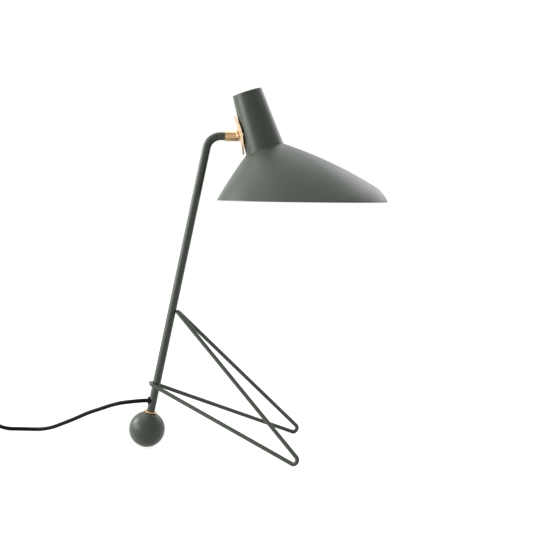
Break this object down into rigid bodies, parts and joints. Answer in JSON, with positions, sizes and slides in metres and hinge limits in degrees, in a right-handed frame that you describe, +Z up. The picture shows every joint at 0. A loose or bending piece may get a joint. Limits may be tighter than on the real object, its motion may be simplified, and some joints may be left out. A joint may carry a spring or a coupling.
{
  "type": "table lamp",
  "caption": "Table lamp with a leaning tube on a ball foot, a bent wire base and a spun metal shade that turns about the level arm; coiled cord with switch and plug.",
  "frame": {"origin": "middle of the lamp's own footprint box, without the cord, on the table top", "axes": "+X towards the side that the shade reaches, +Y away from the viewer of the picture, +Z up"},
  "size_m": [0.5974, 0.2076, 0.4475],
  "materials": {
    "paint": "satin grey-green powder coat",
    "brass": "polished, lightly brushed brass",
    "steel": "zinc-plated steel",
    "rubber": "matt black rubber",
    "cord": "black cord, matt",
    "nylon": "natural nylon",
    "holder": "black moulded lampholder",
    "porcelain": "unglazed porcelain",
    "cap_metal": "nickel-plated screw cap",
    "opal_glass": "opal white glass",
    "black_plastic": "black moulded plastic, fine grain",
    "pin_brass": "nickel-plated brass"
  },
  "bodies": {
    "stand": {"stem_tube": "paint", "wire_base": "paint", "ball_foot": "paint", "ball_washer": "brass", "ball_stud": "steel", "stem_plug": "steel", "cord_grommet": "rubber", "stem_lead": "cord", "swivel_spigot": "steel", "thrust_washer": "nylon", "retaining_ring": "steel", "cord": "cord", "cord_link": "cord", "cord_coil": "cord", "cord_tail": "cord", "switch_base": "black_plastic", "switch_cover": "black_plastic", "rocker_pin": "steel", "switch_screws": "steel", "switch_contacts": "brass", "plug_body": "black_plastic", "plug_relief": "black_plastic", "plug_pins": "pin_brass"},
    "head": {"arm_sleeve": "brass", "saddle_plate": "brass", "neck_spacers": "steel", "neck_screws": "steel", "neck_bush": "rubber", "neck_shell": "paint", "shade_shell": "paint", "neck_cap": "paint", "holder_nipple": "steel", "nipple_nuts": "steel", "holder_dome": "holder", "holder_skirt": "holder", "holder_core": "porcelain", "thread_shell": "brass", "centre_contact": "brass", "bulb_cap": "cap_metal", "bulb_globe": "opal_glass", "head_lead": "cord"},
    "rocker": {"switch_rocker": "black_plastic"}
  },
  "joints": [
    {"name": "head_swivel", "type": "hinge", "parent": "stand", "child": "head", "pos_m": [-0.04, 0, 0.388], "axis": [1, 0, 0], "range_deg": [-60, 60]},
    {"name": "switch_press", "type": "hinge", "parent": "stand", "child": "rocker", "pos_m": [-0.386, 0.081, 0.0144], "axis": [0, 1, 0], "range_deg": [-12, 0]}
  ]
}
